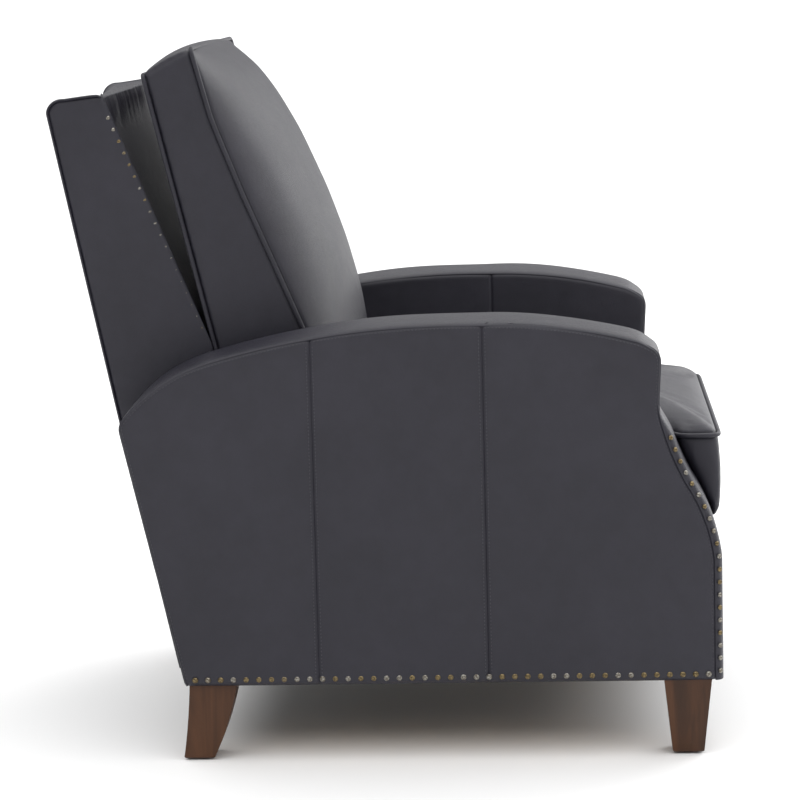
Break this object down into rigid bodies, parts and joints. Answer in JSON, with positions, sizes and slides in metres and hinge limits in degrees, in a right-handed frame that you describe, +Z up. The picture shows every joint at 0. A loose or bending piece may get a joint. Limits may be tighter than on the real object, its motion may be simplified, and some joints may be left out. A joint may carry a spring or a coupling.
{
  "type": "recliner armchair",
  "caption": "Push-back recliner armchair with padded arms, wing back, piped cushions, nailhead trim, tapered legs and a fold-out footrest",
  "frame": {"origin": "on the floor, under the middle of the chair", "axes": "+Z up, -Y to the front where the sitter faces, +X to the sitter's left"},
  "size_m": [0.7748, 0.963, 1.038],
  "materials": {
    "leather": "smooth semi-matte slate leather",
    "walnut": "dark walnut stain, satin",
    "frame_wood": "bare hardwood and plywood",
    "black_steel": "black powder coat",
    "zinc_steel": "zinc plated",
    "nylon": "moulded nylon",
    "black_cloth": "non-woven black cloth",
    "webbing": "elastic webbing",
    "antique_brass": "antiqued, worn bright on top"
  },
  "bodies": {
    "base": {"front_leg_left": "walnut", "front_leg_right": "walnut", "rear_leg_left": "walnut", "rear_leg_right": "walnut", "arm_frame_left": "frame_wood", "arm_frame_right": "frame_wood", "arm_outer_panel_left": "leather", "arm_outer_panel_right": "leather", "arm_inner_panel_left": "leather", "arm_inner_panel_right": "leather", "arm_top_pad_left": "leather", "arm_top_pad_right": "leather", "arm_front_facing_left": "leather", "arm_front_facing_right": "leather", "arm_rear_facing_left": "leather", "arm_rear_facing_right": "leather", "glide_rail_left": "zinc_steel", "glide_rail_right": "zinc_steel", "leg_glides": "nylon", "leg_bolts": "zinc_steel", "front_stretcher": "frame_wood", "rear_stretcher": "frame_wood", "corner_blocks": "frame_wood", "dust_cover": "black_cloth", "kick_panel": "leather", "rail_screws": "zinc_steel", "base_nailheads": "antique_brass"},
    "seat": {"side_plate_left": "black_steel", "side_plate_right": "black_steel", "seat_frame": "frame_wood", "seat_springs": "zinc_steel", "seat_deck": "black_cloth", "seat_cushion": "leather", "link_pins": "zinc_steel", "plate_bolts": "zinc_steel", "glide_arms": "black_steel", "glide_shoes": "nylon", "hinge_brackets": "black_steel", "hinge_pins": "zinc_steel"},
    "front_links": {"front_links": "black_steel", "torque_tube": "black_steel"},
    "rear_links": {"rear_links": "black_steel"},
    "couplers": {"couplers": "black_steel", "coupler_pins": "zinc_steel", "middle_pins": "zinc_steel"},
    "footrest_links": {"footrest_links": "black_steel", "footrest_tube": "black_steel"},
    "footrest": {"footrest_board": "frame_wood", "footrest_pad": "leather", "footrest_brackets": "black_steel", "footrest_pins": "zinc_steel"},
    "back": {"back_frame": "frame_wood", "back_shell": "leather", "back_webbing": "webbing", "back_lining": "leather", "back_cushion": "leather", "wing_nailheads": "antique_brass", "hinge_plates": "black_steel"}
  },
  "joints": [
    {"name": "seat_glide", "type": "slide", "parent": "base", "child": "seat", "axis": [0, -1, 0], "range_m": [0, 0.06]},
    {"name": "footrest_fold", "type": "hinge", "parent": "seat", "child": "front_links", "pos_m": [0, -0.33, 0.295], "axis": [-1, 0, 0], "range_deg": [0, 80]},
    {"name": "rear_link_fold", "type": "hinge", "parent": "seat", "child": "rear_links", "pos_m": [0, -0.242, 0.285], "axis": [-1, 0, 0], "range_deg": [0, 80]},
    {"name": "coupler_fold", "type": "hinge", "parent": "front_links", "child": "couplers", "pos_m": [0, -0.33, 0.13], "axis": [-1, 0, 0], "range_deg": [-80, 0]},
    {"name": "footrest_link_fold", "type": "hinge", "parent": "couplers", "child": "footrest_links", "pos_m": [0, -0.352, 0.128], "axis": [-1, 0, 0], "range_deg": [-41, 0]},
    {"name": "footrest_tilt", "type": "hinge", "parent": "footrest_links", "child": "footrest", "pos_m": [0, -0.398, 0.31], "axis": [-1, 0, 0], "range_deg": [0, 131]},
    {"name": "back_recline", "type": "hinge", "parent": "seat", "child": "back", "pos_m": [0, 0.32, 0.345], "axis": [-1, 0, 0], "range_deg": [0, 28]}
  ],
  "couplings": [
    {"joint": "seat_glide", "follows": "footrest_fold", "m_per_rad": 0.0429},
    {"joint": "rear_link_fold", "follows": "footrest_fold", "ratio": 1},
    {"joint": "coupler_fold", "follows": "footrest_fold", "ratio": -1},
    {"joint": "footrest_link_fold", "follows": "footrest_fold", "ratio": -0.5102},
    {"joint": "footrest_tilt", "follows": "footrest_fold", "ratio": 1.6352}
  ]
}
